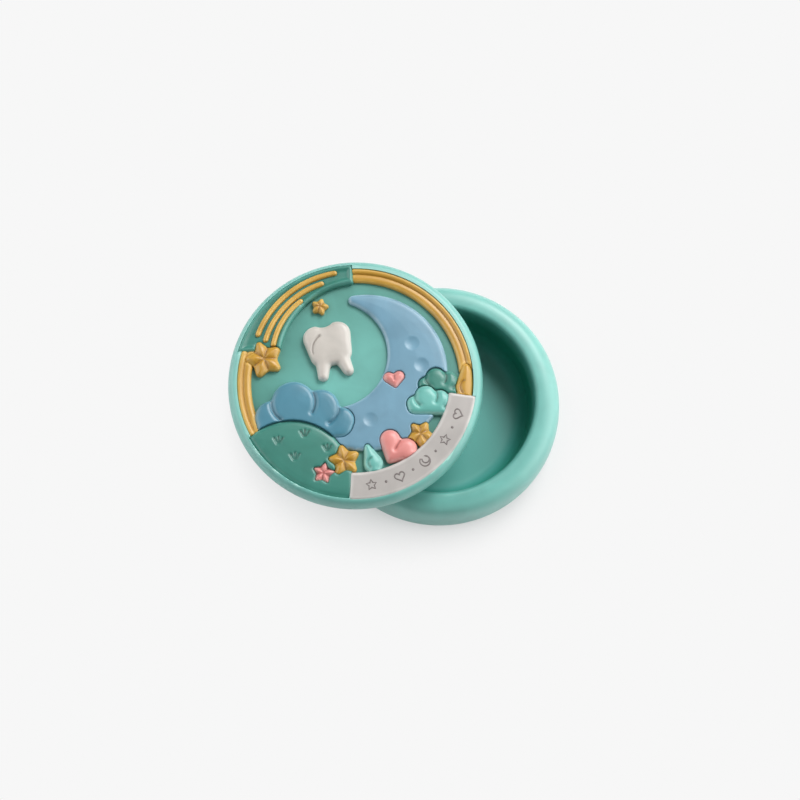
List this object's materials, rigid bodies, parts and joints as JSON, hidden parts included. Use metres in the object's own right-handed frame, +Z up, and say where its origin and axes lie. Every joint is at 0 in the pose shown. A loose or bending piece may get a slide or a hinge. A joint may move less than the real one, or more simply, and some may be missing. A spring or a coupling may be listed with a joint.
{
  "type": "keepsake box",
  "caption": "Small round resin box for milk teeth: a thick-walled bowl and a loose lid with a raised, painted picture, shown with the lid slid aside.",
  "frame": {"origin": "centre of the bowl's flat foot, on the surface that it stands on", "axes": "+Z up; the lid lies slid off towards -X; the top of the lid's picture points to +Y"},
  "size_m": [0.0812, 0.0628, 0.0254],
  "materials": {
    "mint_resin": "satin",
    "slate_blue_paint": "satin",
    "teal_paint": "satin",
    "leaf_green_paint": "satin",
    "mustard_paint": "satin",
    "coral_paint": "satin",
    "pale_mint_paint": "satin",
    "warm_grey_paint": "satin",
    "milk_white_paint": "satin"
  },
  "bodies": {
    "base": {"bowl": "mint_resin"},
    "lid": {"lid": "mint_resin", "hoop_left": "mustard_paint", "hoop_right": "mustard_paint", "label_plate": "warm_grey_paint", "moon": "slate_blue_paint", "moon_heart": "coral_paint", "tooth": "milk_white_paint", "cloud": "teal_paint", "small_cloud": "pale_mint_paint", "cloud_bank": "leaf_green_paint", "heart": "coral_paint", "drop": "pale_mint_paint", "low_star": "mustard_paint", "plate_star": "mustard_paint", "rose_star": "coral_paint", "side_drop": "mustard_paint", "hollow_star": "mustard_paint", "comet_star": "mustard_paint", "hill": "leaf_green_paint", "comet_tail": "leaf_green_paint", "comet_streak_1": "mustard_paint", "comet_streak_2": "mustard_paint", "comet_streak_3": "mustard_paint"}
  },
  "joints": [
    {"name": "lid_lift", "type": "slide", "parent": "base", "child": "lid", "axis": [0, 0, 1], "range_m": [0, 0.06]}
  ]
}
